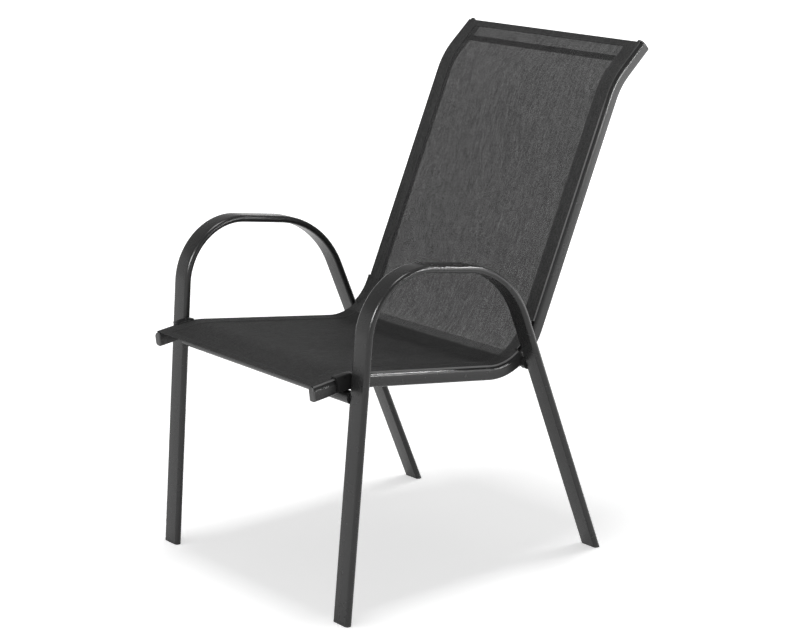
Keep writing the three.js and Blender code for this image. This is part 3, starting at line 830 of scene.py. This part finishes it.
def stitch_tree():
    """Geometry nodes that set a stitch at every pitch along the lines they are given."""
    tree = bpy.data.node_groups.new("stitch_row", "GeometryNodeTree")
    sockets = {}
    tree.interface.new_socket("Geometry", in_out="INPUT", socket_type="NodeSocketGeometry")
    for label in ("Pitch", "Stitch length", "Thread"):
        sockets[label] = tree.interface.new_socket(label, in_out="INPUT", socket_type="NodeSocketFloat")
    sockets["Material"] = tree.interface.new_socket(
        "Material", in_out="INPUT", socket_type="NodeSocketMaterial")
    tree.interface.new_socket("Geometry", in_out="OUTPUT", socket_type="NodeSocketGeometry")
    nodes, links = tree.nodes, tree.links
    given, made = nodes.new("NodeGroupInput"), nodes.new("NodeGroupOutput")
    row = nodes.new("GeometryNodeMeshToCurve")
    links.new(given.outputs["Geometry"], row.inputs["Mesh"])
    spots = nodes.new("GeometryNodeCurveToPoints")
    spots.mode = "LENGTH"
    links.new(row.outputs["Curve"], spots.inputs["Curve"])
    links.new(given.outputs["Pitch"], spots.inputs["Length"])
    thread = nodes.new("GeometryNodeMeshUVSphere")
    thread.inputs["Segments"].default_value = THREAD_SIDES
    thread.inputs["Rings"].default_value = THREAD_RINGS
    thread.inputs["Radius"].default_value = 0.5
    size = nodes.new("ShaderNodeCombineXYZ")
    links.new(given.outputs["Thread"], size.inputs["X"])
    links.new(given.outputs["Thread"], size.inputs["Y"])
    links.new(given.outputs["Stitch length"], size.inputs["Z"])
    copies = nodes.new("GeometryNodeInstanceOnPoints")
    links.new(spots.outputs["Points"], copies.inputs["Points"])
    links.new(spots.outputs["Rotation"], copies.inputs["Rotation"])
    links.new(thread.outputs["Mesh"], copies.inputs["Instance"])
    links.new(size.outputs["Vector"], copies.inputs["Scale"])
    real = nodes.new("GeometryNodeRealizeInstances")
    links.new(copies.outputs["Instances"], real.inputs["Geometry"])
    paint = nodes.new("GeometryNodeSetMaterial")
    links.new(real.outputs["Geometry"], paint.inputs["Geometry"])
    links.new(given.outputs["Material"], paint.inputs["Material"])
    links.new(paint.outputs["Geometry"], made.inputs["Geometry"])
    return tree, {label: socket.identifier for label, socket in sockets.items()}


def through_nodes(name, lines, tree, identifiers, values):
    """Runs a node tree over open lines of points, and returns what it makes as a plain mesh."""
    points = [tuple(point) for line in lines for point in line]
    edges, first = [], 0
    for line in lines:
        edges += [(first + i, first + i + 1) for i in range(len(line) - 1)]
        first += len(line)
    mesh = bpy.data.meshes.new(name + "_lines")
    mesh.from_pydata(points, edges, [])
    work = bpy.data.objects.new(name + "_lines", mesh)
    bpy.context.scene.collection.objects.link(work)
    modifier = work.modifiers.new("rows", "NODES")
    modifier.node_group = tree
    for label, value in values.items():
        modifier[identifiers[label]] = value
    evaluated = work.evaluated_get(bpy.context.evaluated_depsgraph_get())
    plain = bpy.data.meshes.new_from_object(evaluated)
    plain.shade_smooth()
    bpy.data.objects.remove(work)
    return plain


def on_sling(x, along):
    """A point just above the sling's upper face, where a stitch lies."""
    (y, z), _ = rail_line.at(along, sheet_height(x, along) - sag(x, along) + STITCH_LIFT)
    return x, y, z


thread_black = plain_plastic("dark_sewing_thread", level=0.030, roughness=0.7, grain_depth=0.00004)
seam_x = hem_inner + STITCH_FROM_EDGE
seam_start, seam_end = sling_start + SEAM_END_GAP, sling_end - SEAM_END_GAP
side_seam = [along for along in sling_places if seam_start < along < seam_end]
cross_seam = np.linspace(-seam_x, seam_x, SEAM_STEPS + 1)
seam_rows = [[on_sling(side * seam_x, along) for along in side_seam] for side in (1, -1)]
for along in (sling_start + FRONT_HEM - STITCH_FROM_EDGE, sling_end - TOP_HEM + STITCH_FROM_EDGE):
    seam_rows.append([on_sling(x, along) for x in cross_seam])
tree, identifiers = stitch_tree()
values = {
    "Pitch": STITCH_PITCH,
    "Stitch length": STITCH_LENGTH,
    "Thread": STITCH_THREAD,
    "Material": thread_black,
}
stitch_mesh = through_nodes("hem_stitches", seam_rows, tree, identifiers, values)
stitches = piece("hem_stitches", stitch_mesh, thread_black, "mesh_fabric")

# Splines
# A plastic rod in each side hem keeps it from slipping out of the slot. It lies inside the rail in
# two lengths, one along the seat and one along the back, and only its material is set here.

spline_black = plain_plastic("black_spline_plastic", level=0.02, roughness=0.5, grain_depth=0.00003)
for hand in ("left", "right"):
    for stretch in ("seat", "back"):
        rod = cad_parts[f"{hand}_{stretch}_spline"]
        rod.data.materials.clear()
        rod.data.materials.append(spline_black)

# Stacking saddles
# A glossy black moulding hangs over each rail at the front leg, and fills the space between the
# two. The next chair of a stack rests its frame on it, and doesn't scratch the coat.

SADDLE_LENGTH = 0.0355
SADDLE_START = 0.0462
SADDLE_COVER = 0.0038
SADDLE_BELOW = 0.0092
SADDLE_REACH = 0.016
SADDLE_ROUND = 0.003
SADDLE_OVERHANG = 0.0015
SADDLE_EDGE = 0.001
SADDLE_SWEEP_LOW = 0.004
SADDLE_EASE = 0.0012
SADDLE_GAP = 0.0003
SADDLE_TIP = 0.0002
SADDLE_TIP_STEPS = 10
SADDLE_BODY_STEPS = 6
ROUND_SHARE = 0.8

saddle_black = plain_plastic(
    "glossy_black_saddle", level=0.012, roughness=0.30, grain_depth=0.00001, gloss=0.15)
saddle_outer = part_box("left_stacking_saddle")[1].x - rail_x
under = RAIL_ABOVE + SLING_CLEAR + HEM_THICKNESS + SADDLE_GAP
beside = half_rail + SADDLE_GAP
saddle_top = under + SADDLE_COVER
saddle_places = even_steps(0.0, SADDLE_OVERHANG, SADDLE_TIP_STEPS)
saddle_places += even_steps(SADDLE_OVERHANG, SADDLE_LENGTH - SADDLE_OVERHANG, SADDLE_BODY_STEPS)[1:]


def saddle_sweep(past):
    """The height of the sloped front edge, a way past the tip of the saddle's top."""
    share = min(1.0, past / SADDLE_OVERHANG)
    tip = saddle_top - SADDLE_EDGE
    return (1 - share) ** 2 * tip + 2 * share * (1 - share) * under + share ** 2 * SADDLE_SWEEP_LOW


def saddle_section(past):
    """The moulding's outline over and outside the rail, a way past its front tip."""
    near_end = max(0.0, SADDLE_EASE - min(past, SADDLE_LENGTH - past))
    shrink = SADDLE_EASE - math.sqrt(SADDLE_EASE ** 2 - near_end ** 2)
    top, outer = saddle_top - shrink, saddle_outer - shrink
    inner = saddle_outer - SADDLE_REACH + shrink
    below, hang = under, -SADDLE_BELOW
    if past < SADDLE_OVERHANG:
        below = max(under, saddle_sweep(past))
        hang = max(-SADDLE_BELOW, saddle_sweep(past))
    below = min(below, top - SADDLE_TIP)
    hang = min(hang, below)
    return rounded([
        (inner, below, 0),
        (beside, below, 0),
        (beside, hang, 0),
        (outer, hang, 0),
        (outer, top, min(SADDLE_ROUND, (top - hang) * ROUND_SHARE)),
        (inner, top, min(SADDLE_ROUND, (top - below) * ROUND_SHARE)),
    ])


for hand, side in (("left", 1), ("right", -1)):
    rings = [rail_ring(side, SADDLE_START + past, saddle_section(past)) for past in saddle_places]
    name = f"{hand}_saddle_moulding"
    piece(name, skin(name, rings), saddle_black, "saddle_plastic", f"{hand}_stacking_saddle")

# Floor, light and camera
# A plain white floor, a soft light straight above, a bright backdrop behind the chair and a dim
# room in front of it, as in a catalogue studio. Small lights that show in the gloss alone draw the
# fine highlights on the rails and arms.

FLOOR_SIZE = 40.0
FLOOR_WHITE = 0.88
FLOOR_ROUGHNESS = 0.9
FLOOR_GLOSS = 0.1
FLOOR_GLOW = 0.50
FLOOR_RING_GLOW = 0.35
FLOOR_RING = (0.8, 12.0)
FLOOR_BACK_GLOW = 2.1
FLOOR_BACK = (0.8, 3.4)
CAMERA_AIM = (0.0158, 0.0486, 0.4366)
CAMERA_DISTANCE = 3.9415
CAMERA_AZIMUTH = math.radians(50.20)
CAMERA_ELEVATION = math.radians(14.67)
CAMERA_LENS = 95.6
CAMERA_REACH = 100.0
BACKDROP_WAY = (0.34, 0.94)
BACKDROP = 2.0
BACKDROP_SIDES = (-0.1, 0.4)
BACKDROP_TOP = 0.10
ROOM = 0.36
ROOM_RISE = 0.24
ROOM_EDGE = (0.05, 0.17)
LIGHT_AIM = (0.0, 0.0, 0.4)
KEY_POWER = 165.0
KEY_SIZE = 1.7
KEY_PLACE = (0.0, -0.15, 6.0)
GLINTS = (
    ("shoulder_glint", 48.0, 0.3, (1.1, 2.2, 2.1)),
    ("lip_glint", 8.0, 0.2, (1.6, 0.8, 0.88)),
    ("crest_glint", 5.5, 0.2, (1.34, 0.87, 1.02)),
    ("rail_glint", 2.6, 0.6, (1.35, 1.44, 0.72)),
    ("heel_glint", 6.0, 0.5, (1.5, 2.3, 0.03)),
    ("arm_glint", 95.0, 0.8, (0.6, -2.5, 1.85)),
)

floor_mesh = bpy.data.meshes.new("floor")
half = FLOOR_SIZE / 2
floor_corners = [(-half, -half, 0), (half, -half, 0), (half, half, 0), (-half, half, 0)]
floor_mesh.from_pydata(floor_corners, [], [(0, 1, 2, 3)])
floor = bpy.data.objects.new("floor", floor_mesh)
bpy.context.scene.collection.objects.link(floor)
floor_white, start = new_finish("floor_white")
place = start.node("ShaderNodeTexCoord", output="Object")
across, depth, _ = place.parts()
ring = (across * across + depth * depth).climb(*FLOOR_RING)
behind = (across * BACKDROP_WAY[0] + depth * BACKDROP_WAY[1]).climb(*FLOOR_BACK)
glow = ring * FLOOR_RING_GLOW + behind * FLOOR_BACK_GLOW + FLOOR_GLOW
close_finish(start, {
    "Base Color": grey(FLOOR_WHITE),
    "Roughness": FLOOR_ROUGHNESS,
    "Specular IOR Level": FLOOR_GLOSS,
    "Emission Color": glow.between(grey(0.0), grey(1.0)),
    "Emission Strength": 1.0,
})
floor_mesh.materials.append(floor_white)

world = bpy.data.worlds.new("studio")
world.use_nodes = True
world.node_tree.nodes.clear()
start = Tone(world.node_tree)
across, depth, height = start.node("ShaderNodeTexCoord", output="Generated").parts()
behind = (across * BACKDROP_WAY[0] + depth * BACKDROP_WAY[1]).climb(*BACKDROP_SIDES)
glare = (1 - height.climb(0.0, BACKDROP_TOP)) * behind * (BACKDROP - 1)
lowered = height - (1 - behind) * ROOM_RISE
strength = (1 - lowered.climb(*ROOM_EDGE)) * (glare + 1 - ROOM) + ROOM
sky = start.node("ShaderNodeBackground", {"Color": grey(1.0), "Strength": strength})
start.node("ShaderNodeOutputWorld", {"Surface": sky})
bpy.context.scene.world = world


def aimed(thing, place, target):
    """Puts a lamp or camera in the scene at a place, turned to a target."""
    thing.location = place
    way = np.array(target) - np.array(place)
    tilt = math.acos(-way[2] / np.linalg.norm(way))
    thing.rotation_euler = (tilt, 0.0, math.atan2(-way[0], way[1]))
    bpy.context.scene.collection.objects.link(thing)


def soft_light(name, power, size, spot, only_glints=False):
    """A square light aimed at the chair, which can be left to show in its gloss alone."""
    light = bpy.data.lights.new(name, "AREA")
    light.energy = power
    light.size = size
    lamp = bpy.data.objects.new(name, light)
    lamp.visible_camera = False
    lamp.visible_diffuse = not only_glints
    aimed(lamp, spot, LIGHT_AIM)


soft_light("key", KEY_POWER, KEY_SIZE, KEY_PLACE)
for name, power, size, spot in GLINTS:
    soft_light(name, power, size, spot, only_glints=True)

aim = np.array(CAMERA_AIM) + np.array([0.0, depth_shift, 0.0])
back = np.array([
    math.sin(CAMERA_AZIMUTH) * math.cos(CAMERA_ELEVATION),
    -math.cos(CAMERA_AZIMUTH) * math.cos(CAMERA_ELEVATION),
    math.sin(CAMERA_ELEVATION),
])
camera_data = bpy.data.cameras.new("camera")
camera_data.lens = CAMERA_LENS
camera_data.clip_end = CAMERA_REACH
camera = bpy.data.objects.new("camera", camera_data)
aimed(camera, aim + CAMERA_DISTANCE * back, aim)
bpy.context.scene.camera = camera
bpy.context.scene.view_settings.view_transform = "Standard"
